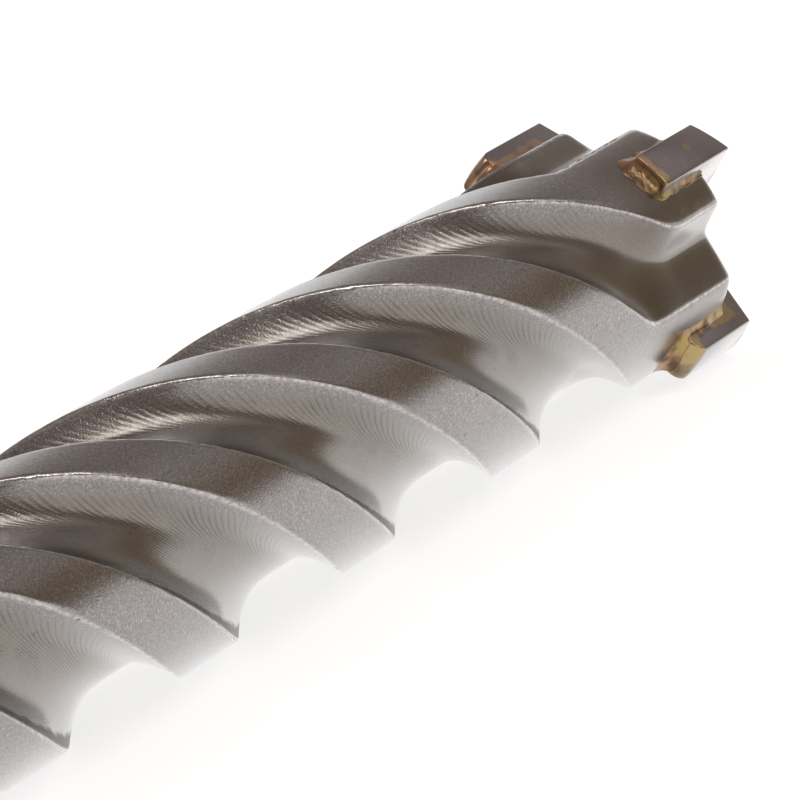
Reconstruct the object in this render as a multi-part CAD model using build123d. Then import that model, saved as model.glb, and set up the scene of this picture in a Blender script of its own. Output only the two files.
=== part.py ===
"""A four-cutter masonry drill bit, lying as it comes to rest, in millimetres.

The bit points along +X and +Z is up. The origin is the centre of the shank's rear
face, where the hammer strikes. One steel bar carries the shank, the four-start flutes
and the head. One long carbide plate crosses the head, two short ones stand at right
angles to it, and each plate is brazed into its own slot.
"""
from build123d import *
import math
import os

# Overall sizes
overall_length = 320.0
head_diameter = 25.0
side_cutter_diameter = 23.1

# Shank with slots for a rotary hammer
shank_diameter = 18.0
shank_length = 90.0
shank_chamfer = 1.5
drive_slot_width = 6.0
drive_slot_depth = 2.8
drive_slot_length = 62.0
drive_slot_angles = (90.0, 218.0, 322.0)
lock_recess_width = 6.5
lock_recess_depth = 2.6
lock_recess_length = 26.0
lock_recess_start = 20.0
lock_recess_angles = (0.0, 180.0)
collar_length = 12.0
collar_slope = 45.0

# Fluted body: four equal flutes on a right-hand helix
starts = 4
body_diameter = 21.0
core_diameter = 15.0
lead = 103.0
land_angle = 31.7
flute_deepest_share = 0.36
flute_fullness = 3.8
runout_length = 24.0

# Head: the flutes stop turning there and become straight V grooves
head_groove_depth = 2.1
head_groove_start_angle = -18.3
head_groove_end_angle = 18.0
head_groove_fullness = 1.5
head_blend_length = 13.0
head_bend_softness = 2.0
head_land_phase = 25.3

# Carbide plates, their slots and the braze that holds them
plate_thickness = 3.6
main_plate_height = 11.1
side_plate_height = 12.2
side_plate_inner_radius = 4.4
plate_corner_radius = 1.2
point_angle = 130.0
relief_angle = 22.0
steel_below_cutting_corner = 3.5
side_plate_lift = 0.4
braze_gap = 0.2
plate_angle = 45.0
side_plate_turns = (90.0, 270.0)

# How finely the fluted body is drawn, and how far a cutter passes what it cuts
body_section_step = 2.0
head_section_step = 1.5
flute_wall_spans = 6
cut_margin = 1.0

# Places along the axis, worked out from the sizes above
body_radius = body_diameter / 2
flute_depth = (body_diameter - core_diameter) / 2
pitch_angle = 360.0 / starts
flute_angle = pitch_angle - land_angle
edge_fall = math.tan(math.radians(90.0 - point_angle / 2))
relief_fall = math.tan(math.radians(relief_angle))
half_plate = plate_thickness / 2
half_slot = half_plate + braze_gap
corner_to_tip = head_diameter / 2 * edge_fall - half_plate * relief_fall
corner_x = overall_length - corner_to_tip
steel_end_x = corner_x - steel_below_cutting_corner
side_inset = (head_diameter - side_cutter_diameter) / 2
side_corner_x = corner_x + side_inset * edge_fall + side_plate_lift
collar_end_x = shank_length + collar_length
runout_end_x = collar_end_x + runout_length
straight_groove_x = corner_x + lead * (head_groove_start_angle - head_land_phase) / 360.0
head_start_x = straight_groove_x - 2 * head_blend_length


def polar(x, radius, angle):
    """A point at this place along the axis, radius and angle from +Y towards +Z."""
    turn = math.radians(angle)
    return Vector(x, radius * math.cos(turn), radius * math.sin(turn))


def stop_at(angle, limit):
    """The angle, held back by a soft bend so that it never passes the limit."""
    ahead = (limit - angle) / head_bend_softness
    softened = max(ahead, 0.0) + math.log1p(math.exp(-abs(ahead)))
    return limit - head_bend_softness * softened


def flute_edges(x):
    """The angles of the leading and trailing edge of the first flute at x."""
    turned = head_land_phase + 360.0 * (x - corner_x) / lead
    leading = stop_at(turned, head_groove_start_angle)
    trailing = stop_at(turned + flute_angle, head_groove_end_angle)
    return leading, trailing


def flute_form(x):
    """How deep the flute is at x, and how full its section.

    The flute rises out of the collar, and is a straight V groove from where its leading
    edge has stopped turning.
    """
    runout = min(max((x - collar_end_x) / runout_length, 0.0), 1.0)
    depth = flute_depth * (1 - (1 - runout) ** 2)
    blend = min(max((x - straight_groove_x) / head_blend_length + 1.0, 0.0), 1.0)
    blend = blend * blend * (3 - 2 * blend)
    depth += (head_groove_depth - depth) * blend
    fullness = flute_fullness + (head_groove_fullness - flute_fullness) * blend
    return depth, fullness


def flute_radius(share, depth, fullness):
    """The flute's floor or wall at a share of its width, counted from its leading edge."""
    if share < flute_deepest_share:
        off = (flute_deepest_share - share) / flute_deepest_share
    else:
        off = (share - flute_deepest_share) / (1 - flute_deepest_share)
    return body_radius - depth * (1 - off ** fullness)


def body_section(x):
    """One closed outline across the fluted body: a land and a flute for each start."""
    leading, trailing = flute_edges(x)
    depth, fullness = flute_form(x)
    shares = [step / flute_wall_spans for step in range(flute_wall_spans + 1)]
    edges = []
    for start in range(starts):
        turn = start * pitch_angle
        land_from = trailing + turn - pitch_angle
        land_to = leading + turn
        ends = [polar(x, body_radius, angle) for angle in (land_from, land_to)]
        middle = polar(x, body_radius, (land_from + land_to) / 2)
        edges.append(Edge.make_three_point_arc(ends[0], middle, ends[1]))
        for first, last in ((0.0, flute_deepest_share), (flute_deepest_share, 1.0)):
            points = []
            for wall_share in shares:
                share = first + (last - first) * wall_share
                angle = leading + turn + (trailing - leading) * share
                points.append(polar(x, flute_radius(share, depth, fullness), angle))
            edges.append(Edge.make_spline(points, parameters=shares))
    return Wire(edges)


def section_places(first, last, step):
    """Places for the outlines of one stretch, both its ends among them."""
    count = max(2, math.ceil((last - first) / step))
    return [first + (last - first) * index / count for index in range(count + 1)]


def lofted(places):
    """A solid through the outlines at these places."""
    return Solid.make_loft([body_section(x) for x in places])


def fluted_body():
    """The collar and the flutes, up to where the head starts."""
    places = section_places(shank_length, runout_end_x, body_section_step)
    places += section_places(runout_end_x, head_start_x, body_section_step)[1:]
    return lofted(places) - collar_taper()


def head_blank():
    """The head before its slots are milled."""
    return lofted(section_places(head_start_x, steel_end_x, head_section_step))


def along_x(radius, start, length):
    """A round bar on the axis."""
    plane = Plane(origin=(start, 0, 0), z_dir=(1, 0, 0))
    return Solid.make_cylinder(radius, length, plane)


def stadium_cutter(start, length, width, depth, angle):
    """A round-ended slot cutter that reaches this depth into the shank at an angle."""
    floor = shank_diameter / 2 - depth
    middle = Plane(origin=(start + length / 2, 0, floor), z_dir=(0, 0, 1))
    cutter = extrude(middle * SlotOverall(length, width), amount=depth + cut_margin)
    return Rot(X=angle - 90.0) * cutter


def shank():
    """The plain shank: three open drive slots and two closed locking recesses."""
    bar = along_x(shank_diameter / 2, 0, collar_end_x)
    rear = bar.edges().filter_by(GeomType.CIRCLE).sort_by(Axis.X)[0]
    bar = chamfer(rear, shank_chamfer)
    for angle in drive_slot_angles:
        start = -drive_slot_width
        length = drive_slot_length + drive_slot_width
        bar -= stadium_cutter(start, length, drive_slot_width, drive_slot_depth, angle)
    for angle in lock_recess_angles:
        bar -= stadium_cutter(
            lock_recess_start, lock_recess_length, lock_recess_width, lock_recess_depth, angle
        )
    return bar


def collar_taper():
    """The ring that is turned away where the collar narrows to the shank."""
    low = shank_diameter / 2
    high = body_radius + cut_margin
    run = (high - low) / math.tan(math.radians(collar_slope))
    profile = Polyline(
        (shank_length, low, 0),
        (shank_length + run, high, 0),
        (shank_length - cut_margin, high, 0),
        (shank_length - cut_margin, low, 0),
        close=True,
    )
    return revolve(make_face(profile), Axis.X)


def radial_block(inner, outer, low_x, half_width):
    """A block between two radii that passes the point, along +Y before it is turned."""
    length = overall_length + cut_margin - low_x
    block = Solid.make_box(length, outer - inner, 2 * half_width)
    return Pos(low_x, inner, -half_width) * block


def cutting_slope(corner, radius, side):
    """What is ground away above one cutting edge, for a plate along +Y or -Y.

    The edge runs down towards the outside, and the top falls back behind the edge.
    """
    corners = []
    for out, behind in ((-1, -1), (1, -1), (1, 1), (-1, 1)):
        out *= head_diameter
        behind *= head_diameter
        x = corner + (radius - out) * edge_fall - behind * relief_fall
        corners.append(Vector(x, side * out, side * (half_plate - behind)))
    face = Face(Wire.make_polygon(corners, close=True))
    return Solid.extrude(face, Vector(overall_length, 0, 0))


def ground_plate(inner, radius, low_x, corner, sides):
    """A carbide plate out to its cutting circle, ground to an edge on each side named."""
    plate = radial_block(inner, radius + cut_margin, low_x, half_plate)
    plate = plate & along_x(radius, low_x - cut_margin, overall_length)
    for side in sides:
        plate -= cutting_slope(corner, radius, side)
    return plate


def main_plate():
    """The long carbide plate with two cutting edges that meet in a chisel point."""
    radius = head_diameter / 2
    low_x = corner_x - main_plate_height
    plate = ground_plate(-radius - cut_margin, radius, low_x, corner_x, (1, -1))
    low_corners = plate.edges().filter_by(GeomType.CIRCLE).group_by(Axis.X)[0]
    return Rot(X=plate_angle) * fillet(low_corners, plate_corner_radius)


def side_plate(turn):
    """A short carbide plate with one cutting edge."""
    radius = side_cutter_diameter / 2
    low_x = side_corner_x - side_plate_height
    plate = ground_plate(side_plate_inner_radius, radius, low_x, side_corner_x, (1,))
    return Rot(X=plate_angle + turn) * plate


def main_slot():
    """The slot that crosses the head."""
    low_x = corner_x - main_plate_height - braze_gap
    block = radial_block(-head_diameter, head_diameter, low_x, half_slot)
    return Rot(X=plate_angle) * block


def side_slot(turn):
    """The slot of one short plate, open outwards and to the front."""
    low_x = side_corner_x - side_plate_height - braze_gap
    block = radial_block(side_plate_inner_radius - braze_gap, head_diameter, low_x, half_slot)
    return Rot(X=plate_angle + turn) * block


def one_solid(shape):
    """The single solid in a result."""
    solids = shape.solids()
    if len(solids) != 1:
        raise ValueError(f"expected one solid, found {len(solids)}")
    return solids[0]


def build_nodes():
    """Every piece of the bit, by name."""
    blank = head_blank()
    head = blank - main_slot()
    plate = main_plate()
    nodes = {
        "main_cutting_plate": one_solid(plate),
        "main_plate_braze": one_solid((main_slot() & blank) - plate),
    }
    for number, turn in enumerate(side_plate_turns, start=1):
        head -= side_slot(turn)
        plate = side_plate(turn)
        nodes[f"side_cutting_plate_{number}"] = one_solid(plate)
        nodes[f"side_plate_braze_{number}"] = one_solid((side_slot(turn) & blank) - plate)
    nodes["steel_body"] = one_solid(fluted_body() + shank() + head)
    return nodes


if __name__ == "__main__":
    os.makedirs("parts", exist_ok=True)
    for node, solid in build_nodes().items():
        export_step(solid, f"parts/{node}.step")
        print(node, round(solid.volume, 1), "mm3")
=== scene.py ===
"""The looks of a four-cutter masonry drill bit that lies on a white table."""
import math

import bmesh
import bpy
from mathutils import Matrix, Vector, noise


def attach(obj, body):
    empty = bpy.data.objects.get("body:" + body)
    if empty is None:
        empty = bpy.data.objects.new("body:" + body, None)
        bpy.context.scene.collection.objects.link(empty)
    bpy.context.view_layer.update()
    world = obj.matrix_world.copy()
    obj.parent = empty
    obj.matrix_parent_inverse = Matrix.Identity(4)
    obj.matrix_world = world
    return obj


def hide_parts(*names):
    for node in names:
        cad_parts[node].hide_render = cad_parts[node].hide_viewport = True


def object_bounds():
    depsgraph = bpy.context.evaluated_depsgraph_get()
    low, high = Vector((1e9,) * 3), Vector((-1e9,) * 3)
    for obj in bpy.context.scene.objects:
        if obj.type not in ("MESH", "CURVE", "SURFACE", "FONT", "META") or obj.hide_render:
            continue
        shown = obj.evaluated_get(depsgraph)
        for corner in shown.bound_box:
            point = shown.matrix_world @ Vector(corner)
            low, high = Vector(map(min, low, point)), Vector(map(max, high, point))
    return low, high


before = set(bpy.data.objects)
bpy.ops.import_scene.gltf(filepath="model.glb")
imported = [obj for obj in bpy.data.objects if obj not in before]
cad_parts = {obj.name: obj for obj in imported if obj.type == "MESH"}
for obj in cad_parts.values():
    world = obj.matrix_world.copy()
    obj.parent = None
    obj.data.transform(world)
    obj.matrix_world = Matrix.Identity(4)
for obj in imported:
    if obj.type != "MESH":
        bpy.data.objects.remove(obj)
cad_low, cad_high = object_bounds()

MM = 0.001

# Sizes of the bit in millimetres, as in the part's source
overall_length = 320.0
head_diameter = 25.0
side_cutter_diameter = 23.1
shank_diameter = 18.0
shank_length = 90.0
shank_chamfer = 1.5
drive_slot_width = 6.0
drive_slot_depth = 2.8
drive_slot_length = 62.0
drive_slot_angles = (90.0, 218.0, 322.0)
lock_recess_width = 6.5
lock_recess_depth = 2.6
lock_recess_length = 26.0
lock_recess_start = 20.0
lock_recess_angles = (0.0, 180.0)
collar_length = 12.0
starts = 4
body_radius = 10.5
flute_depth = 3.0
lead = 103.0
land_angle = 31.7
flute_deepest_share = 0.36
flute_fullness = 3.8
runout_length = 24.0
head_groove_depth = 2.1
head_groove_start_angle = -18.3
head_groove_end_angle = 18.0
head_groove_fullness = 1.5
head_blend_length = 13.0
head_land_phase = 25.3
plate_thickness = 3.6
main_plate_height = 11.1
side_plate_height = 12.2
side_plate_inner_radius = 4.4
plate_corner_radius = 1.2
point_angle = 130.0
relief_angle = 22.0
steel_below_cutting_corner = 3.5
side_plate_lift = 0.4
braze_gap = 0.2
plate_angle = 45.0
side_plate_turns = (90.0, 270.0)

# Slopes and places worked out from the sizes above
edge_fall = math.tan(math.radians(90.0 - point_angle / 2))
relief_fall = math.tan(math.radians(relief_angle))
half_plate = plate_thickness / 2
half_slot = half_plate + braze_gap
corner_x = overall_length - head_diameter / 2 * edge_fall + half_plate * relief_fall
steel_end_x = corner_x - steel_below_cutting_corner
side_inset = (head_diameter - side_cutter_diameter) / 2
side_corner_x = corner_x + side_inset * edge_fall + side_plate_lift
collar_end_x = shank_length + collar_length
straight_groove_x = corner_x + lead * (head_groove_start_angle - head_land_phase) / 360.0

# Where the braze's stain ends on the plates, along the bit
stain_end_x = corner_x - main_plate_height + 0.3

# How finely the fluted steel is meshed, and how its rims are rounded and worn
land_columns = 12
flute_columns = 26
body_rows = 600
column_crowding = 0.86
bend_softness = 8.3
merge_within = 0.002
rim_width = 0.1
rim_rounding = 0.08
nose_rounding = 0.22
nose_reach = 0.35
nick_depth = 0.16
nicks_per_mm = 1.8
nick_seed = 7
steel_crease = 48.0

# How the plates are meshed, and how softly their edges are broken
plate_slices = 9
corner_steps = 6
edge_break = 0.14
break_above = 20.0
plate_crease = 30.0

# The braze in the corners: its width off the plate and its height up it, by place
end_face_seam = (0.4, 0.3)
rim_seam = (0.45, 0.35)
side_seam = (0.5, 0.42)
low_corner_seam = (1.0, 0.7)
low_end_seam = (1.5, 0.8)
low_middle_seam = (1.6, 0.8)
seam_swell = 0.5
seam_steps = 26
low_end_steps = 6
uneven_width = 0.75
uneven_height = 0.6
swells_per_mm = 0.55
profile_steps = 6
profile_roundness = 0.65
seam_sunk = 0.03
seam_root = 0.2
seam_in_plate = 0.1

# The patterns of the finishes, in millimetres. The blast's own grit, near 0.05 mm, is too
# fine to show in the render, so the grain and the specks are drawn coarser.
grit_size = 0.13
speck_size = 0.17
cloud_size = 8.333
patch_size = 2.857
smear_size = 1.4286
polish_size = 0.4
pit_spacing = 2.381
pit_edge_size = 0.25
mark_spacing = 0.44
mark_slope = 0.6
streak_width = 0.3125
streak_length = 2.857
sinter_grain = 0.1667
stain_edge_size = 1.25
tint_size = 6.25
burnt_size = 2.0
ripple_size = 0.625

# The table's half width and the lamps' distance in metres, and where the lamps point
table_reach = 30.0
lamp_distance = 4.0
lit_x = 260.0

# A wave texture of scale 1 draws one line in each 0.314
wave_pitch = 0.314

# Kinds of node and settings that come up often
MATH = "ShaderNodeMath"
RANGE = "ShaderNodeMapRange"
MIX = "ShaderNodeMix"
NOISE = "ShaderNodeTexNoise"
SMOOTH = {"interpolation_type": "SMOOTHSTEP"}
COLOUR = {"data_type": "RGBA"}


def linear(hex_code):
    """An sRGB hex colour as linear red, green, blue and alpha."""
    parts = [int(hex_code[i:i + 2], 16) / 255 for i in (1, 3, 5)]
    return [c / 12.92 if c <= 0.04045 else ((c + 0.055) / 1.055) ** 2.4 for c in parts] + [1.0]


def connect(tree, node, inputs):
    """Fills a node's inputs. Each takes a value, a socket or another node."""
    for key, value in inputs.items():
        if isinstance(key, int):
            socket = node.inputs[key]
        else:
            socket = next(s for s in node.inputs if s.enabled and s.name == key)
        if isinstance(value, bpy.types.Node):
            value = next(s for s in value.outputs if s.enabled)
        if isinstance(value, bpy.types.NodeSocket):
            tree.links.new(value, socket)
        else:
            socket.default_value = value


def add(tree, kind, inputs=None, **settings):
    """Adds a node with its settings and inputs."""
    node = tree.nodes.new(kind)
    for name, value in settings.items():
        setattr(node, name, value)
    connect(tree, node, inputs or {})
    return node


def new_material(name):
    """A new node material, with its tree and its shader."""
    material = bpy.data.materials.new(name)
    material.use_nodes = True
    tree = material.node_tree
    return material, tree, tree.nodes["Principled BSDF"]


def object_from(data, name):
    """A new object at the origin that holds this mesh, lamp or camera."""
    obj = bpy.data.objects.new(name, data)
    bpy.context.scene.collection.objects.link(obj)
    return obj


def closed_object(bm, name):
    """A new object from a closed mesh in the making, with its faces turned outwards."""
    bmesh.ops.recalc_face_normals(bm, faces=bm.faces)
    mesh = bpy.data.meshes.new(name)
    bm.to_mesh(mesh)
    bm.free()
    return object_from(mesh, name)


def apply_modifiers(obj, name):
    """Turns the object's modifiers into a plain mesh of this name."""
    bpy.context.view_layer.update()
    evaluated = obj.evaluated_get(bpy.context.evaluated_depsgraph_get())
    mesh = bpy.data.meshes.new_from_object(evaluated)
    mesh.name = name
    obj.modifiers.clear()
    obj.data = mesh


def skin(bm, rings, angle):
    """A closed skin over rings of points in millimetres, turned about the bit's axis."""
    spin = Matrix.Rotation(math.radians(angle), 3, "X")
    rings = [[bm.verts.new(spin @ Vector(point) * MM) for point in ring] for ring in rings]
    count = len(rings[0])
    for lower, upper in zip(rings, rings[1:]):
        for i in range(count):
            j = (i + 1) % count
            bm.faces.new((lower[i], lower[j], upper[j], upper[i]))
    bm.faces.new(reversed(rings[0]))
    bm.faces.new(rings[-1])


# Materials

def millimetres(tree):
    """The place on the object in millimetres."""
    coords = add(tree, "ShaderNodeTexCoord").outputs["Object"]
    return add(tree, "ShaderNodeVectorMath", {0: coords, "Scale": 1 / MM}, operation="SCALE")


def cutter_marks(tree, along, across):
    """Fine lines and short streaks that cross the flute's first wall at a slant."""
    slant = add(tree, MATH, {0: along, 1: -mark_slope, 2: across}, operation="MULTIPLY_ADD")
    run = add(tree, MATH, {0: across, 1: mark_slope, 2: along}, operation="MULTIPLY_ADD")
    place = add(tree, "ShaderNodeCombineXYZ", {0: slant, 1: run})
    lines = add(tree, "ShaderNodeTexWave", {
        "Vector": place, "Scale": wave_pitch / mark_spacing, "Distortion": 1.2, "Detail": 2.0,
        "Detail Scale": 1.0,
    }).outputs["Fac"]
    stretched = add(tree, "ShaderNodeVectorMath", {
        0: place, 1: (1 / streak_width, 1 / streak_length, 1.0),
    }, operation="MULTIPLY")
    streaks = add(tree, NOISE, {"Vector": stretched, "Scale": 1.0, "Detail": 3.0})
    return add(tree, MIX, {"Factor": 0.45, "A": lines, "B": streaks})


def rust_pits(tree, mm):
    """One inside a few small round pits, each with a ragged edge."""
    cells = add(tree, "ShaderNodeTexVoronoi", {"Vector": mm, "Scale": 1 / pit_spacing}).outputs
    ragged = add(tree, NOISE, {"Vector": mm, "Scale": 1 / pit_edge_size})
    edge = add(tree, MATH, {0: ragged, 1: 0.1, 2: cells["Distance"]}, operation="MULTIPLY_ADD")
    pit = add(tree, RANGE, {"Value": edge, "From Min": 0.15, "From Max": 0.1}, **SMOOTH)
    draw = add(tree, "ShaderNodeSeparateXYZ", {0: cells["Color"]})
    chosen = add(tree, MATH, {0: draw, 1: 0.6}, operation="GREATER_THAN")
    return add(tree, MATH, {0: pit, 1: chosen}, operation="MULTIPLY")


def torch_browning(tree, mm, along, smear):
    """How far the brazing torch browned the steel: strongest close to the plates."""
    crossed = add(tree, "ShaderNodeVectorRotate", {
        "Vector": mm, "Angle": math.radians(-plate_angle),
    }, rotation_type="X_AXIS")
    folded = add(tree, "ShaderNodeVectorMath", {0: crossed}, operation="ABSOLUTE")
    planes = add(tree, "ShaderNodeSeparateXYZ", {0: folded}).outputs
    off_plate = add(tree, MATH, {0: planes[1], 1: planes[2]}, operation="MINIMUM")
    reach = add(tree, MATH, {0: smear, 1: 2.5, 2: off_plate}, operation="MULTIPLY_ADD")
    heated = add(tree, RANGE, {
        "Value": reach, "From Min": 3.6, "From Max": 6.8, "To Min": 0.8, "To Max": 0.0,
    }, **SMOOTH)
    head_part = add(tree, RANGE, {
        "Value": along, "From Min": stain_end_x - 9.0, "From Max": stain_end_x - 2.0,
    }, **SMOOTH)
    return add(tree, MATH, {0: heated, 1: head_part}, operation="MULTIPLY")


def blasted_steel():
    """Hardened steel, milled and then blasted: satin grey, with fine grain and cutter marks."""
    material, tree, shader = new_material("blasted_steel")
    mm = millimetres(tree)
    along = add(tree, "ShaderNodeSeparateXYZ", {0: mm}).outputs[0]
    rim = add(tree, "ShaderNodeAttribute", attribute_name="rim_wear").outputs["Fac"]
    across = add(tree, "ShaderNodeAttribute", attribute_name="from_leading").outputs["Fac"]
    ahead = add(tree, "ShaderNodeAttribute", attribute_name="to_trailing").outputs["Fac"]

    # Clouds tint all of the steel, and its flutes are warmer
    cloud = add(tree, NOISE, {"Vector": mm, "Scale": 1 / cloud_size, "Detail": 4.0})
    tone = add(tree, MIX, {
        "Factor": cloud, "A": linear("#706b6a"), "B": linear("#827d7c"),
    }, **COLOUR)
    rise = add(tree, RANGE, {"Value": across, "From Min": 0.05, "From Max": 1.0}, **SMOOTH)
    in_flute = add(tree, MATH, {0: rise, 1: 0.7}, operation="MULTIPLY")

    # Dull and bright specks, plainest on the lands
    grains = add(tree, NOISE, {"Vector": mm, "Scale": 1 / speck_size, "Detail": 1.0})
    speckle = add(tree, RANGE, {
        "Value": across, "From Min": 0.05, "From Max": 0.8, "To Min": 0.55, "To Max": 0.15,
    }, **SMOOTH)
    dull = add(tree, RANGE, {"Value": grains, "From Min": 0.5, "From Max": 0.35}, **SMOOTH)
    dull = add(tree, MATH, {0: dull, 1: speckle}, operation="MULTIPLY")
    bright = add(tree, RANGE, {"Value": grains, "From Min": 0.58, "From Max": 0.7}, **SMOOTH)
    bright = add(tree, MATH, {0: bright, 1: speckle}, operation="MULTIPLY")

    # The cutter marks fade across the flute, come and go in patches and stop in the head
    marks = cutter_marks(tree, along, across)
    fall = add(tree, RANGE, {
        "Value": across, "From Min": 3.5, "From Max": 8.0, "To Min": 1.0, "To Max": 0.25,
    }, **SMOOTH)
    patches = add(tree, NOISE, {"Vector": mm, "Scale": 1 / patch_size, "Detail": 2.0})
    patchy = add(tree, RANGE, {
        "Value": patches, "From Min": 0.4, "From Max": 0.6, "To Min": 0.35, "To Max": 1.0,
    }, **SMOOTH)
    off_head = add(tree, RANGE, {
        "Value": along, "From Min": stain_end_x - 22.0, "From Max": stain_end_x - 6.0,
        "To Min": 1.0, "To Max": 0.25,
    }, **SMOOTH)
    milled = rise
    for share in (fall, patchy, off_head):
        milled = add(tree, MATH, {0: milled, 1: share}, operation="MULTIPLY")
    scored = add(tree, RANGE, {
        "Value": marks, "From Min": 0.42, "From Max": 0.28, "To Min": 0.0, "To Max": 0.75,
    }, **SMOOTH)
    scored = add(tree, MATH, {0: scored, 1: milled}, operation="MULTIPLY")

    # Painted shade: the flute's second half is darkened brown towards the trailing rim, and a
    # darker painted shade strip lies just before that rim
    painted_floor_shade = add(tree, RANGE, {
        "Value": ahead, "From Min": 4.5, "From Max": 1.0, "To Min": 0.0, "To Max": 0.55,
    }, **SMOOTH)
    painted_floor_shade = add(tree, MATH, {0: painted_floor_shade, 1: rise}, operation="MULTIPLY")
    smear = add(tree, NOISE, {"Vector": mm, "Scale": 1 / smear_size, "Detail": 3.0})
    # The strip's dark colour is painted shade, where the flute floor falls into shadow beyond the
    # rim
    reach = add(tree, MATH, {0: smear, 1: 0.7, 2: ahead}, operation="MULTIPLY_ADD")
    painted_rim_shade = add(tree, RANGE, {
        "Value": reach, "From Min": 1.3, "From Max": 0.9, "To Min": 0.0, "To Max": 0.8,
    }, **SMOOTH)
    off_rim = add(tree, RANGE, {"Value": ahead, "From Min": 0.02, "From Max": 0.2}, **SMOOTH)
    for share in (off_rim, off_head):
        painted_rim_shade = add(tree, MATH, {0: painted_rim_shade, 1: share}, operation="MULTIPLY")

    # Drilling dust polishes the rims here and there; their lighter colour is that polish and also
    # a painted highlight along the rims
    worn = add(tree, NOISE, {"Vector": mm, "Scale": 1 / polish_size, "Detail": 2.0})
    worn = add(tree, RANGE, {
        "Value": worn, "From Min": 0.35, "From Max": 0.6, "To Min": 0.35, "To Max": 1.0,
    }, **SMOOTH)
    polish_and_highlight = add(tree, MATH, {0: rim, 1: worn}, operation="MULTIPLY")

    # Each layer lies over the ones before it
    layers = (
        (in_flute, "#675e53"),
        (dull, "#4b4542"),
        (bright, "#a5a09c"),
        (scored, "#453e36"),
        # Painted shade on the flute's second half, then a darker painted shade strip just before
        # the trailing rim
        (painted_floor_shade, "#463b2e"),
        (painted_rim_shade, "#332b23"),
        (torch_browning(tree, mm, along, smear), "#55483c"),
        # The rims' lighter colour: polish, and a painted highlight
        (polish_and_highlight, "#b4aeab"),
        (rust_pits(tree, mm), "#5c4036"),
    )
    for amount, colour in layers:
        tone = add(tree, MIX, {"Factor": amount, "A": tone, "B": linear(colour)}, **COLOUR)

    # Smoother on the rims and rougher on the painted shade strip before the trailing rim, with
    # blasted grain and cut lines
    rough = add(tree, RANGE, {
        "Value": cloud, "From Min": 0.2, "From Max": 0.8, "To Min": 0.21, "To Max": 0.28,
    }, **SMOOTH)
    rough = add(tree, MATH, {0: polish_and_highlight, 1: -0.08, 2: rough}, operation="MULTIPLY_ADD")
    rough = add(tree, MATH, {0: painted_rim_shade, 1: 0.2, 2: rough}, operation="MULTIPLY_ADD")
    grit = add(tree, NOISE, {
        "Vector": mm, "Scale": 1 / grit_size, "Detail": 1.0, "Roughness": 0.6,
    })
    bump = add(tree, "ShaderNodeBump", {
        "Height": grit, "Strength": 1.0, "Distance": 0.018 * MM,
    })
    bump = add(tree, "ShaderNodeBump", {
        "Height": marks, "Strength": milled, "Distance": 0.03 * MM, "Normal": bump,
    })

    # The coat is an oil layer, which brightens what is seen at a slant. The painted shade strip
    # before the trailing rim has none.
    oil = add(tree, MATH, {0: 1.0, 1: painted_rim_shade}, operation="SUBTRACT")
    connect(tree, shader, {
        "Base Color": tone, "Metallic": 1.0, "Roughness": rough, "Normal": bump,
        "Coat Weight": oil, "Coat Roughness": 0.22,
    })
    return material


def braze_tints(tree, mm):
    """Braze colours by place: gold, copper and the brown of overheated flux."""
    wide = add(tree, NOISE, {"Vector": mm, "Scale": 1 / tint_size, "Detail": 1.0})
    gold = add(tree, RANGE, {"Value": wide, "From Min": 0.4, "From Max": 0.6}, **SMOOTH)
    metal = add(tree, MIX, {
        "Factor": gold, "A": linear("#a98567"), "B": linear("#a08c55"),
    }, **COLOUR)
    spots = add(tree, NOISE, {"Vector": mm, "Scale": 1 / burnt_size, "Detail": 2.0})
    burnt = add(tree, RANGE, {"Value": spots, "From Min": 0.42, "From Max": 0.68}, **SMOOTH)
    return add(tree, MIX, {"Factor": burnt, "A": metal, "B": linear("#5e4a38")}, **COLOUR)


def sintered_carbide():
    """Tungsten carbide as sintered: a dark violet grey, stained by braze near the steel."""
    material, tree, shader = new_material("sintered_carbide")
    mm = millimetres(tree)
    along = add(tree, "ShaderNodeSeparateXYZ", {0: mm}).outputs[0]
    grain = add(tree, NOISE, {"Vector": mm, "Scale": 1 / sinter_grain, "Detail": 2.0})
    bump = add(tree, "ShaderNodeBump", {
        "Height": grain, "Strength": 0.5, "Distance": 0.02 * MM,
    })

    # The stain covers the lower end, and creeps out from the steel behind the end face
    at_end = add(tree, RANGE, {
        "Value": along, "From Min": stain_end_x, "From Max": stain_end_x + 1.0,
        "To Min": 1.0, "To Max": 0.0,
    }, **SMOOTH)
    flat = add(tree, "ShaderNodeVectorMath", {0: mm, 1: (0.0, 1.0, 1.0)}, operation="MULTIPLY")
    radius = add(tree, "ShaderNodeVectorMath", {0: flat}, operation="LENGTH").outputs["Value"]
    at_steel = add(tree, RANGE, {
        "Value": radius, "From Min": body_radius, "From Max": body_radius + 1.5,
        "To Min": 1.0, "To Max": 0.0,
    }, **SMOOTH)
    behind = add(tree, RANGE, {
        "Value": along, "From Min": steel_end_x + 0.4, "From Max": steel_end_x + 2.2,
        "To Min": 1.0, "To Max": 0.0,
    }, **SMOOTH)
    at_steel = add(tree, MATH, {0: at_steel, 1: behind}, operation="MULTIPLY")
    near = add(tree, MATH, {0: at_end, 1: at_steel}, operation="MAXIMUM")
    edge = add(tree, NOISE, {"Vector": mm, "Scale": 1 / stain_edge_size, "Detail": 3.0})
    edge = add(tree, MATH, {0: near, 1: edge}, operation="ADD")
    stain = add(tree, RANGE, {"Value": edge, "From Min": 0.75, "From Max": 1.05}, **SMOOTH)
    colour = add(tree, MIX, {
        "Factor": stain, "A": linear("#71686d"), "B": braze_tints(tree, mm),
    }, **COLOUR)
    connect(tree, shader, {
        "Base Color": colour, "Metallic": 1.0, "Roughness": 0.26, "Normal": bump,
        "Coat Weight": 1.0, "Coat Roughness": 0.12,
    })
    return material


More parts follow.
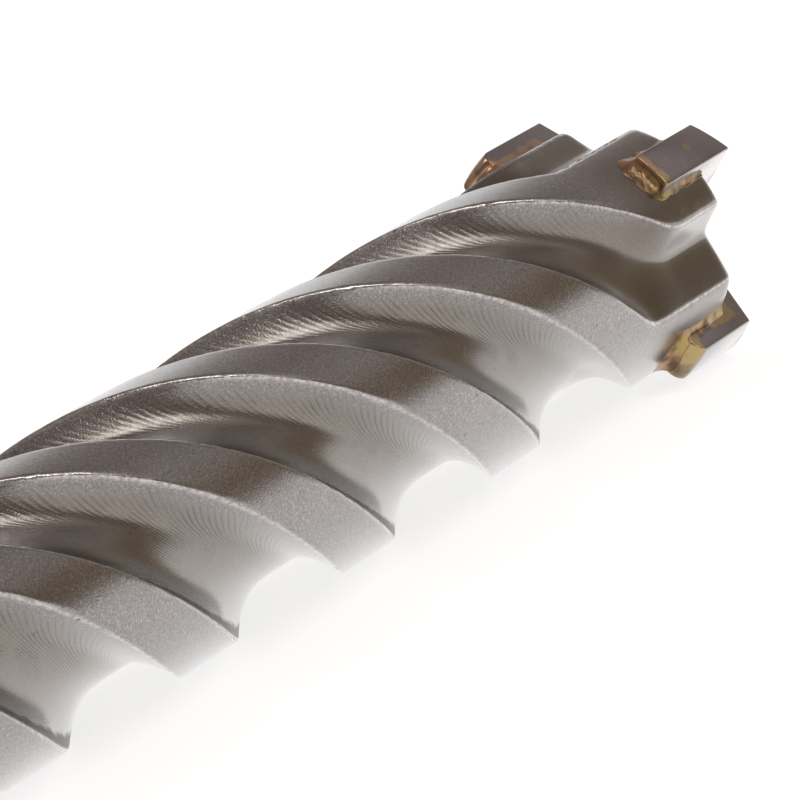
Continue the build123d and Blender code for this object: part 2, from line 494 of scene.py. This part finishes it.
def braze_metal():
    """Braze as it flowed and cooled: smooth, gold to copper brown."""
    material, tree, shader = new_material("braze_metal")
    mm = millimetres(tree)
    ripple = add(tree, NOISE, {"Vector": mm, "Scale": 1 / ripple_size, "Detail": 2.0})
    bump = add(tree, "ShaderNodeBump", {
        "Height": ripple, "Strength": 0.6, "Distance": 0.12 * MM,
    })
    connect(tree, shader, {
        "Base Color": braze_tints(tree, mm), "Metallic": 1.0, "Roughness": 0.28,
        "Normal": bump,
    })
    return material


# The steel bar

def fluted_surface_tree(material):
    """Geometry nodes for the fluted surface: one start as a bent grid, set round the axis."""
    tree = bpy.data.node_groups.new("fluted_surface", "GeometryNodeTree")
    sizes = {
        "Start X": shank_length, "End X": steel_end_x, "Body Radius": body_radius,
        "Flute Depth": flute_depth, "Lead": lead, "Flute Angle": 360.0 / starts - land_angle,
        "Deepest Share": flute_deepest_share, "Flute Fullness": flute_fullness,
        "Groove Depth": head_groove_depth, "Groove Fullness": head_groove_fullness,
        "Rim Width": rim_width, "Rim Rounding": rim_rounding, "Nick Depth": nick_depth,
    }
    interface = tree.interface
    for name, value in sizes.items():
        socket = interface.new_socket(name, in_out="INPUT", socket_type="NodeSocketFloat")
        socket.default_value = value
    for name, value in (("Starts", starts), ("Seed", nick_seed)):
        socket = interface.new_socket(name, in_out="INPUT", socket_type="NodeSocketInt")
        socket.default_value = value
    interface.new_socket("Geometry", in_out="OUTPUT", socket_type="NodeSocketGeometry")
    given = add(tree, "NodeGroupInput").outputs

    # A flat grid: its X runs round one start, its Y along the bit
    columns = land_columns + flute_columns
    grid = add(tree, "GeometryNodeMeshGrid", {
        "Size X": 1.0, "Size Y": 1.0, "Vertices X": columns + 1, "Vertices Y": body_rows + 1,
    })
    place = add(tree, "ShaderNodeSeparateXYZ", {0: add(tree, "GeometryNodeInputPosition")})
    along = add(tree, RANGE, {
        "Value": place.outputs[1], "From Min": -0.5, "From Max": 0.5,
        "To Min": given["Start X"], "To Max": given["End X"],
    })
    rim_place = land_columns / columns - 0.5
    on_land = add(tree, RANGE, {
        "Value": place.outputs[0], "From Min": -0.5, "From Max": rim_place,
    })
    on_flute = add(tree, RANGE, {
        "Value": place.outputs[0], "From Min": rim_place, "From Max": 0.5,
    })

    # Columns crowd towards both rims
    crowded = []
    for share in (on_land, on_flute):
        wave = add(tree, MATH, {0: share, 1: 2 * math.pi}, operation="MULTIPLY")
        wave = add(tree, MATH, {0: wave}, operation="SINE")
        wave = add(tree, MATH, {0: wave, 1: -column_crowding / (2 * math.pi), 2: share},
                   operation="MULTIPLY_ADD")
        crowded.append(wave)
    land_share, flute_share = crowded

    # The angles of the flute's two edges, held back where the head's grooves run straight
    from_corner = add(tree, MATH, {0: along, 1: corner_x}, operation="SUBTRACT")
    per_mm = add(tree, MATH, {0: 360.0, 1: given["Lead"]}, operation="DIVIDE")
    turned = add(tree, MATH, {0: from_corner, 1: per_mm, 2: head_land_phase},
                 operation="MULTIPLY_ADD")
    leading = add(tree, MATH, {0: turned, 1: head_groove_start_angle, 2: bend_softness},
                  operation="SMOOTH_MIN")
    trailing = add(tree, MATH, {0: turned, 1: given["Flute Angle"]}, operation="ADD")
    trailing = add(tree, MATH, {0: trailing, 1: head_groove_end_angle, 2: bend_softness},
                   operation="SMOOTH_MIN")
    flute_span = add(tree, MATH, {0: trailing, 1: leading}, operation="SUBTRACT")
    pitch = add(tree, MATH, {0: 360.0, 1: given["Starts"]}, operation="DIVIDE")
    land_from = add(tree, MATH, {0: trailing, 1: pitch}, operation="SUBTRACT")
    land_span = add(tree, MATH, {0: pitch, 1: flute_span}, operation="SUBTRACT")
    angle = add(tree, MATH, {0: land_span, 1: land_share, 2: land_from}, operation="MULTIPLY_ADD")
    angle = add(tree, MATH, {0: flute_span, 1: flute_share, 2: angle}, operation="MULTIPLY_ADD")

    # The flute's depth and fullness: it rises out of the collar and ends as a V groove
    shallow = add(tree, RANGE, {
        "Value": along, "From Min": collar_end_x, "From Max": collar_end_x + runout_length,
        "To Min": 1.0, "To Max": 0.0,
    })
    shallow = add(tree, MATH, {0: shallow, 1: 2.0}, operation="POWER")
    cut = add(tree, MATH, {0: 1.0, 1: shallow}, operation="SUBTRACT")
    depth = add(tree, MATH, {0: cut, 1: given["Flute Depth"]}, operation="MULTIPLY")
    straight = add(tree, RANGE, {
        "Value": along, "From Min": straight_groove_x - head_blend_length,
        "From Max": straight_groove_x,
    }, **SMOOTH)
    depth = add(tree, MIX, {"Factor": straight, "A": depth, "B": given["Groove Depth"]})
    fullness = add(tree, MIX, {
        "Factor": straight, "A": given["Flute Fullness"], "B": given["Groove Fullness"],
    })
    deepest = given["Deepest Share"]
    before = add(tree, MATH, {0: deepest, 1: flute_share}, operation="SUBTRACT")
    before = add(tree, MATH, {0: before, 1: deepest}, operation="DIVIDE")
    after = add(tree, MATH, {0: flute_share, 1: deepest}, operation="SUBTRACT")
    remainder = add(tree, MATH, {0: 1.0, 1: deepest}, operation="SUBTRACT")
    after = add(tree, MATH, {0: after, 1: remainder}, operation="DIVIDE")
    off = add(tree, MATH, {0: before, 1: after}, operation="MAXIMUM")
    off = add(tree, MATH, {0: off, 1: fullness}, operation="POWER")
    sunk = add(tree, MATH, {0: 1.0, 1: off}, operation="SUBTRACT")
    sunk = add(tree, MATH, {0: sunk, 1: depth}, operation="MULTIPLY")
    radius = add(tree, MATH, {0: given["Body Radius"], 1: sunk}, operation="SUBTRACT")

    # How far each point lies from a rim, in millimetres round the bit
    rim_distance = 0.0
    for share, span in ((land_share, land_span), (flute_share, flute_span)):
        other = add(tree, MATH, {0: 1.0, 1: share}, operation="SUBTRACT")
        nearest = add(tree, MATH, {0: share, 1: other}, operation="MINIMUM")
        arc = add(tree, MATH, {0: nearest, 1: span}, operation="MULTIPLY")
        arc = add(tree, MATH, {0: arc, 1: math.radians(body_radius)}, operation="MULTIPLY")
        rim_distance = add(tree, MATH, {0: rim_distance, 1: arc}, operation="ADD")

    # The rims are eased by a bell curve of that distance, and the wear is kept for the looks
    widths_off = add(tree, MATH, {0: rim_distance, 1: given["Rim Width"]}, operation="DIVIDE")
    squared = add(tree, MATH, {0: widths_off, 1: 2.0}, operation="POWER")
    lowered = add(tree, MATH, {0: squared, 1: -1.0}, operation="MULTIPLY")
    rim = add(tree, MATH, {0: lowered}, operation="EXPONENT")
    rim = add(tree, MATH, {0: rim, 1: cut}, operation="MULTIPLY")
    eased = add(tree, MATH, {0: rim, 1: given["Rim Rounding"]}, operation="MULTIPLY")
    radius = add(tree, MATH, {0: radius, 1: eased}, operation="SUBTRACT")

    # The collar's slope at the rear and the eased edge at the front
    slope = add(tree, MATH, {
        0: along, 1: shank_length - shank_diameter / 2,
    }, operation="SUBTRACT")
    radius = add(tree, MATH, {0: radius, 1: slope}, operation="MINIMUM")
    nose = add(tree, MATH, {0: given["End X"], 1: along}, operation="SUBTRACT")
    nose = add(tree, MATH, {0: nose, 1: -nose_reach}, operation="DIVIDE")
    nose = add(tree, MATH, {0: nose}, operation="EXPONENT")
    nose = add(tree, MATH, {0: nose, 1: nose_rounding}, operation="MULTIPLY")
    radius = add(tree, MATH, {0: radius, 1: nose}, operation="SUBTRACT")

    # The grid is bent round the axis
    turn = add(tree, MATH, {0: angle}, operation="RADIANS")
    cosine = add(tree, MATH, {0: turn}, operation="COSINE")
    sine = add(tree, MATH, {0: turn}, operation="SINE")
    y = add(tree, MATH, {0: radius, 1: cosine}, operation="MULTIPLY")
    z = add(tree, MATH, {0: radius, 1: sine}, operation="MULTIPLY")
    point = add(tree, "ShaderNodeCombineXYZ", {0: along, 1: y, 2: z})
    point = add(tree, "ShaderNodeVectorMath", {0: point, "Scale": MM}, operation="SCALE")

    # What the steel's material reads: the rims' wear, and how far each rim of the flute is
    kept = [("rim_wear", rim)]
    share_left = add(tree, MATH, {0: 1.0, 1: flute_share}, operation="SUBTRACT")
    for name, share in (("from_leading", flute_share), ("to_trailing", share_left)):
        arc = add(tree, MATH, {0: share, 1: flute_span}, operation="MULTIPLY")
        arc = add(tree, MATH, {0: arc, 1: math.radians(body_radius)}, operation="MULTIPLY")
        kept.append((name, arc))
    marked = grid
    for name, value in kept:
        marked = add(tree, "GeometryNodeStoreNamedAttribute", {
            "Geometry": marked, "Name": name, "Value": value,
        }, data_type="FLOAT", domain="POINT")
    bent = add(tree, "GeometryNodeSetPosition", {"Geometry": marked, "Position": point})

    # One copy for each start
    index = add(tree, "GeometryNodeInputIndex")
    pitch_turn = add(tree, MATH, {0: pitch}, operation="RADIANS")
    copy_turn = add(tree, MATH, {0: index, 1: pitch_turn}, operation="MULTIPLY")
    rotation = add(tree, "ShaderNodeCombineXYZ", {0: copy_turn})
    points = add(tree, "GeometryNodePoints", {"Count": given["Starts"]})
    copies = add(tree, "GeometryNodeInstanceOnPoints", {
        "Points": points, "Instance": bent, "Rotation": rotation,
    })
    realized = add(tree, "GeometryNodeRealizeInstances", {"Geometry": copies})
    joined = add(tree, "GeometryNodeMergeByDistance", {
        "Geometry": realized, "Distance": merge_within * MM,
    })

    # Nicks in the rims
    spot = add(tree, "GeometryNodeInputPosition")
    seed = add(tree, "ShaderNodeCombineXYZ", {0: given["Seed"]})
    spot_mm = add(tree, "ShaderNodeVectorMath", {0: spot, 1: (1 / MM,) * 3, 2: seed},
                  operation="MULTIPLY_ADD")
    nick = add(tree, NOISE, {"Vector": spot_mm, "Scale": nicks_per_mm, "Detail": 2.0})
    cut_in = add(tree, MATH, {0: given["Nick Depth"], 1: -MM}, operation="MULTIPLY")
    nick = add(tree, RANGE, {
        "Value": nick, "From Min": 0.5, "From Max": 0.75, "To Min": 0.0, "To Max": cut_in,
    })
    wear = add(tree, "GeometryNodeInputNamedAttribute", {"Name": "rim_wear"}, data_type="FLOAT")
    nick = add(tree, MATH, {0: nick, 1: wear}, operation="MULTIPLY")
    outward = add(tree, "ShaderNodeVectorMath", {
        0: spot, 1: (0.0, 1.0, 1.0),
    }, operation="MULTIPLY")
    outward = add(tree, "ShaderNodeVectorMath", {0: outward}, operation="NORMALIZE")
    shift = add(tree, "ShaderNodeVectorMath", {0: outward, "Scale": nick}, operation="SCALE")
    nicked = add(tree, "GeometryNodeSetPosition", {"Geometry": joined, "Offset": shift})

    realized = add(tree, "GeometryNodeRealizeInstances", {"Geometry": nicked})
    dressed = add(tree, "GeometryNodeSetMaterial", {"Geometry": realized, "Material": material})
    add(tree, "NodeGroupOutput", {"Geometry": dressed})
    return tree


def close_bar(mesh):
    """Adds the shank behind the fluted surface and closes both ends."""
    bm = bmesh.new()
    bm.from_mesh(mesh)
    ends = [e for e in bm.edges if e.is_boundary]
    rear_x = (shank_length + merge_within) * MM
    rear = [e for e in ends if all(v.co.x < rear_x for v in e.verts)]
    front = [e for e in ends if e not in set(rear)]
    bmesh.ops.contextual_create(bm, geom=front)
    shank_radius = shank_diameter / 2
    for x, radius in ((shank_chamfer, shank_radius), (0.0, shank_radius - shank_chamfer)):
        made = bmesh.ops.extrude_edge_only(bm, edges=rear)["geom"]
        for vert in (g for g in made if isinstance(g, bmesh.types.BMVert)):
            flat = Vector((0.0, vert.co.y, vert.co.z)).normalized() * radius * MM
            vert.co = (x * MM, flat.y, flat.z)
        rear = [g for g in made if isinstance(g, bmesh.types.BMEdge) and g.is_boundary]
    bmesh.ops.contextual_create(bm, geom=rear)
    bmesh.ops.recalc_face_normals(bm, faces=bm.faces)
    bm.to_mesh(mesh)
    bm.free()


def prism(bm, outline, low, high, angle):
    """A closed prism over an outline of points along and across the bit.

    It stands between two heights over the axis, on the side at the given angle.
    """
    rings = [[(x, y, height) for x, y in outline] for height in (low, high)]
    skin(bm, rings, angle - 90.0)


def stadium(start, length, width, steps=12):
    """The outline of a round-ended slot along the bit."""
    half = width / 2
    points = []
    for centre, first in ((start + length - half, -90.0), (start + half, 90.0)):
        for step in range(steps + 1):
            turn = math.radians(first + 180.0 * step / steps)
            points.append((centre + half * math.cos(turn), half * math.sin(turn)))
    return points


def slot_outline(low_x):
    """The outline of a plate's slot, open to the front."""
    front = overall_length
    return [(low_x, -half_slot), (front, -half_slot), (front, half_slot), (low_x, half_slot)]


def slot_cutters():
    """Everything that is milled out of the bar: plate slots, drive slots and recesses."""
    bm = bmesh.new()
    over = shank_diameter
    floor = shank_diameter / 2 - drive_slot_depth
    start = -drive_slot_width
    for angle in drive_slot_angles:
        outline = stadium(start, drive_slot_length - start, drive_slot_width)
        prism(bm, outline, floor, over, angle)
    floor = shank_diameter / 2 - lock_recess_depth
    for angle in lock_recess_angles:
        outline = stadium(lock_recess_start, lock_recess_length, lock_recess_width)
        prism(bm, outline, floor, over, angle)
    outline = slot_outline(corner_x - main_plate_height - braze_gap)
    prism(bm, outline, -head_diameter, head_diameter, plate_angle)
    outline = slot_outline(side_corner_x - side_plate_height - braze_gap)
    for turn in side_plate_turns:
        floor = side_plate_inner_radius - braze_gap
        prism(bm, outline, floor, head_diameter, plate_angle + turn)
    return closed_object(bm, "slot_cutters")


def steel_bar(material):
    """The one piece of steel: shank, collar, flutes and slotted head."""
    obj = object_from(bpy.data.meshes.new("steel_bar"), "steel_bar")
    modifier = obj.modifiers.new("fluted_surface", "NODES")
    modifier.node_group = fluted_surface_tree(material)
    apply_modifiers(obj, "steel_bar")
    close_bar(obj.data)
    cutters = slot_cutters()
    modifier = obj.modifiers.new("milled_slots", "BOOLEAN")
    modifier.object = cutters
    modifier.operation = "DIFFERENCE"
    modifier.solver = "MANIFOLD"
    apply_modifiers(obj, "steel_bar")
    bpy.data.objects.remove(cutters)
    obj.data.shade_smooth()
    obj.data.set_sharp_from_angle(angle=math.radians(steel_crease))
    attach(obj, "root")
    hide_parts("steel_body")


# Carbide plates

def plate_slice(z, inner, radius, low_x, corner):
    """The outline of a plate at one depth through its thickness, along x and out along y."""
    outer = math.sqrt(radius * radius - z * z)

    def top(y, side):
        behind = half_plate - side * z
        return corner + (radius - side * y) * edge_fall - behind * relief_fall

    if inner > 0:
        return [(low_x, inner), (low_x, outer), (top(outer, 1), outer), (top(inner, 1), inner)]
    points = []
    for side in (-1, 1):
        for step in range(corner_steps + 1):
            turn = math.pi / 2 * (step if side > 0 else corner_steps - step) / corner_steps
            out = outer - plate_corner_radius * (1 - math.sin(turn))
            points.append((low_x + plate_corner_radius * (1 - math.cos(turn)), side * out))
    ridge = z * relief_fall / edge_fall
    return points + [(top(outer, 1), outer), (top(ridge, 1), ridge), (top(-outer, -1), -outer)]


def carbide_plate(name, node, material, inner, radius, low_x, corner, angle):
    """A sintered plate: slices through its thickness, skinned, with softly broken edges."""
    rings = []
    for index in range(plate_slices):
        z = -half_plate + plate_thickness * index / (plate_slices - 1)
        outline = plate_slice(z, inner, radius, low_x, corner)
        rings.append([(x, y, z) for x, y in outline])
    bm = bmesh.new()
    skin(bm, rings, angle)
    obj = closed_object(bm, name)
    obj.data.materials.append(material)
    bevel = obj.modifiers.new("broken_edges", "BEVEL")
    bevel.width = edge_break * MM
    bevel.segments = 3
    bevel.limit_method = "ANGLE"
    bevel.angle_limit = math.radians(break_above)
    apply_modifiers(obj, name)
    obj.data.shade_smooth()
    obj.data.set_sharp_from_angle(angle=math.radians(plate_crease))
    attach(obj, "root")
    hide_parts(node)


def carbide_plates(material):
    """The long plate and the two short ones."""
    radius = head_diameter / 2
    low_x = corner_x - main_plate_height
    carbide_plate("long_carbide_plate", "main_cutting_plate", material,
                  -radius, radius, low_x, corner_x, plate_angle)
    radius = side_cutter_diameter / 2
    low_x = side_corner_x - side_plate_height
    for number, turn in enumerate(side_plate_turns, start=1):
        carbide_plate(f"short_carbide_plate_{number}", f"side_cutting_plate_{number}", material,
                      side_plate_inner_radius, radius, low_x, side_corner_x, plate_angle + turn)


# Braze

def half_seam(inner, low_x):
    """The stations of one half of a seam: point, way off the plate, way up it, width, height.

    Each is given along the bit, outwards and across the plate. This half runs out over the
    steel's end face, round its rim, back along the plate's side and half round its low end.
    """
    off_side, off_low_end = (0, 0, 1), (-1, 0, 0)
    forward, outward = (1, 0, 0), (0, 1, 0)
    side_height = math.sqrt(body_radius ** 2 - half_plate ** 2)
    stations = []
    first, last = inner, side_height - 0.35
    for step in range(seam_steps):
        height = first + (last - first) * step / (seam_steps - 1)
        stations.append(((steel_end_x, height, half_plate), off_side, forward, *end_face_seam))
    rim = (steel_end_x - 0.1, side_height - 0.1, half_plate)
    stations.append((rim, off_side, (0.7, 0.7, 0), *rim_seam))
    first, last = steel_end_x - 0.4, low_x + 0.5
    for step in range(seam_steps):
        x = first + (last - first) * step / (seam_steps - 1)
        swell = 1.0 + seam_swell * (step / seam_steps) ** 2
        wide, high = (size * swell for size in side_seam)
        stations.append(((x, side_height, half_plate), (0, -0.18, 1), outward, wide, high))
    low_corner = (low_x, side_height, half_plate)
    stations.append((low_corner, (-0.7, -0.1, 0.7), outward, *low_corner_seam))
    for step in range(1, low_end_steps):
        across = half_plate * (1 - step / low_end_steps)
        height = math.sqrt(body_radius ** 2 - across ** 2)
        stations.append(((low_x, height, across), off_low_end, outward, *low_end_seam))
    return stations


def seam_stations(inner, low_x, seed):
    """The stations round one arm of a plate, their widths and heights made uneven."""
    half = half_seam(inner, low_x)
    middle = ((low_x, body_radius, 0), (-1, 0, 0), (0, 1, 0), *low_middle_seam)
    mirrored = [((x, height, -across), (off[0], off[1], -off[2]), up, wide, high)
                for (x, height, across), off, up, wide, high in reversed(half)]
    uneven = []
    for point, off, up, wide, high in [*half, middle, *mirrored]:
        spot = Vector(point) * swells_per_mm + Vector((seed * 7.3, 0, 0))
        wide *= 1 + uneven_width * noise.noise(spot)
        high *= 1 + uneven_height * noise.noise(spot + Vector((0, 31, 0)))
        off, up = Vector(off).normalized(), Vector(up).normalized()
        uneven.append((Vector(point), off, up, wide, high))
    return uneven


def seam_profile(wide, high):
    """The seam's section, off the plate and up it: a hollow fillet with a hidden root."""
    profile = []
    for step in range(profile_steps + 1):
        bend = math.pi / 2 * step / profile_steps
        off = profile_roundness * (1 - math.cos(bend))
        off += (1 - profile_roundness) * step / profile_steps
        up = profile_roundness * (1 - math.sin(bend))
        up += (1 - profile_roundness) * (1 - step / profile_steps)
        profile.append((wide * off, high * up - seam_sunk))
    root = [(wide, -seam_root), (-seam_in_plate, -seam_root), (-seam_in_plate, high - 0.1)]
    return profile + root


def braze_fillets(material):
    """The braze that stands in the corners between plates and steel, as it flowed."""
    bm = bmesh.new()
    arms = [(turn, 0.0, corner_x - main_plate_height) for turn in (0, 180)]
    arms += [(turn, side_plate_inner_radius, side_corner_x - side_plate_height)
             for turn in side_plate_turns]
    for seed, (turn, inner, low_x) in enumerate(arms):
        rings = []
        for point, off, up, wide, high in seam_stations(inner, low_x, seed):
            rings.append([point + off * u + up * v for u, v in seam_profile(wide, high)])
        skin(bm, rings, plate_angle + turn)
    obj = closed_object(bm, "braze_fillets")
    obj.data.materials.append(material)
    smooth = obj.modifiers.new("flowed", "SUBSURF")
    smooth.levels = 1
    apply_modifiers(obj, "braze_fillets")
    obj.data.shade_smooth()
    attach(obj, "root")


# Table, light and camera

def table():
    """A white table top that shows white and keeps the bit's shadow."""
    mesh = bpy.data.meshes.new("table_top")
    bm = bmesh.new()
    bmesh.ops.create_grid(bm, x_segments=1, y_segments=1, size=table_reach)
    bm.to_mesh(mesh)
    bm.free()
    obj = object_from(mesh, "table_top")
    obj.location.z = cad_low.z
    material, tree, shader = new_material("white_table")

    # It glows less towards the camera, where the lamps add to it, so that it shows white
    seen = add(tree, "ShaderNodeLightPath").outputs
    glow = add(tree, MATH, {0: seen["Is Camera Ray"], 1: 0.8}, operation="MULTIPLY")
    for bounce in ("Is Glossy Ray", "Is Transmission Ray"):
        glow = add(tree, MATH, {0: glow, 1: seen[bounce]}, operation="MAXIMUM")
    connect(tree, shader, {
        "Base Color": linear("#b4b3b2"), "Roughness": 1.0, "Specular IOR Level": 0.0,
        "Emission Color": linear("#ffffff"), "Emission Strength": glow,
    })
    mesh.materials.append(material)


def direction(azimuth, elevation):
    """The unit vector at an azimuth from +X towards +Y and an elevation, in degrees."""
    turn, lift = math.radians(azimuth), math.radians(elevation)
    level = math.cos(lift)
    return Vector((math.cos(turn) * level, math.sin(turn) * level, math.sin(lift)))


def strip_lamp(name, one_end, other_end, width, radiance):
    """A long soft lamp round the lit head, between two directions and so many degrees wide."""
    one, other = direction(*one_end), direction(*other_end)
    way = (one + other).normalized()
    long_way = (other - one).normalized()
    lamp = bpy.data.lights.new(name, "AREA")
    lamp.shape = "RECTANGLE"
    lamp.size = lamp_distance * (other - one).length
    lamp.size_y = 2 * lamp_distance * math.tan(math.radians(width / 2))
    lamp.energy = radiance * math.pi * lamp.size * lamp.size_y
    obj = object_from(lamp, name)
    turn = Matrix((long_way, way.cross(long_way), way)).transposed().to_4x4()
    place = Vector((lit_x * MM, 0.0, 0.0)) + way * lamp_distance
    obj.matrix_world = Matrix.Translation(place) @ turn


def facing(tree, way, azimuth, elevation, outer, inner):
    """One where a way lies within the inner angle of a direction, zero beyond the outer one."""
    towards = add(tree, "ShaderNodeVectorMath", {
        0: way, 1: direction(azimuth, elevation),
    }, operation="DOT_PRODUCT")
    return add(tree, RANGE, {
        "Value": towards.outputs["Value"], "From Min": math.cos(math.radians(outer)),
        "From Max": math.cos(math.radians(inner)),
    }, **SMOOTH)


def studio():
    """Plain soft light: a warm dim room over the white table, and two soft lamps."""
    world = bpy.data.worlds.new("warm_room")
    bpy.context.scene.world = world
    world.use_nodes = True
    tree = world.node_tree
    tree.nodes.clear()
    way = add(tree, "ShaderNodeTexCoord").outputs["Generated"]
    up = add(tree, "ShaderNodeSeparateXYZ", {0: way}).outputs[2]

    # White up to the table's horizon, and up to the top of a card that stands behind the head
    low = add(tree, RANGE, {
        "Value": up, "From Min": 0.01, "From Max": 0.06, "To Min": 1.0, "To Max": 0.0,
    }, **SMOOTH)
    card_top = add(tree, RANGE, {
        "Value": up, "From Min": 0.28, "From Max": 0.42, "To Min": 1.0, "To Max": 0.0,
    }, **SMOOTH)
    card = facing(tree, way, azimuth=38.0, elevation=0.0, outer=34.0, inner=22.0)
    card = add(tree, MATH, {0: card, 1: card_top}, operation="MULTIPLY")
    white = add(tree, MATH, {0: low, 1: card}, operation="MAXIMUM")

    # The room, with a dark corner to one side and a paler wall above it
    corner = facing(tree, way, azimuth=-30.0, elevation=4.0, outer=26.0, inner=9.0)
    wall = facing(tree, way, azimuth=-32.0, elevation=36.0, outer=22.0, inner=6.0)
    room = linear("#a39892")
    for amount, colour in ((corner, "#9a8870"), (wall, "#cfc7c2"), (white, "#ffffff")):
        room = add(tree, MIX, {"Factor": amount, "A": room, "B": linear(colour)}, **COLOUR)
    light = add(tree, "ShaderNodeBackground", {"Color": room, "Strength": 1.0})
    add(tree, "ShaderNodeOutputWorld", {"Surface": light})
    strip_lamp("side_lamp", (-74.0, 24.0), (-38.0, 62.0), width=9.0, radiance=7.0)
    strip_lamp("back_lamp", (106.0, 24.0), (142.0, 62.0), width=12.0, radiance=6.0)


def camera():
    """The photograph's view: a long lens, close to the bit's axis, from behind the head.

    The values come from a fit to the edges of the flutes. They are seen from the camera, to
    the right, down and ahead, and places are counted in diameters of the fluted body.
    """
    tip_way = Vector((0.4496, -0.2756, 0.8496))
    level_way = Vector((0.727, -0.440, -0.528))
    roll = math.radians(154.5)
    fitted_place = Vector((0.980, -0.685, 28.856)) * 2 * body_radius
    fitted_x = corner_x + 1.68
    focal_pixels = 7214.0
    picture_pixels = 800.0
    sensor_width = 36.0

    # The bit's own axes as the camera sees them
    level_way = (level_way - level_way.dot(tip_way) * tip_way).normalized()
    third_way = tip_way.cross(level_way)
    y_way = math.cos(roll) * level_way - math.sin(roll) * third_way
    z_way = math.sin(roll) * level_way + math.cos(roll) * third_way
    axes = (tip_way, y_way, z_way)
    place = Vector((fitted_x, 0, 0)) - Vector([fitted_place.dot(axis) for axis in axes])
    right = Vector([axis.x for axis in axes])
    up = -Vector([axis.y for axis in axes])
    back = -Vector([axis.z for axis in axes])
    data = bpy.data.cameras.new("camera")
    data.sensor_width = sensor_width
    data.lens = focal_pixels * sensor_width / picture_pixels
    data.clip_start, data.clip_end = 0.05, 20.0
    obj = object_from(data, "camera")
    turn = Matrix((right, up, back)).transposed().to_4x4()
    obj.matrix_world = Matrix.Translation(place * MM) @ turn
    bpy.context.scene.camera = obj


steel_bar(blasted_steel())
carbide_plates(sintered_carbide())
braze = braze_metal()
braze_fillets(braze)
for name in ("main_plate_braze", "side_plate_braze_1", "side_plate_braze_2"):
    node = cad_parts[name]
    node.data.materials.clear()
    node.data.materials.append(braze)
table()
studio()
camera()
bpy.context.scene.view_settings.view_transform = "Standard"
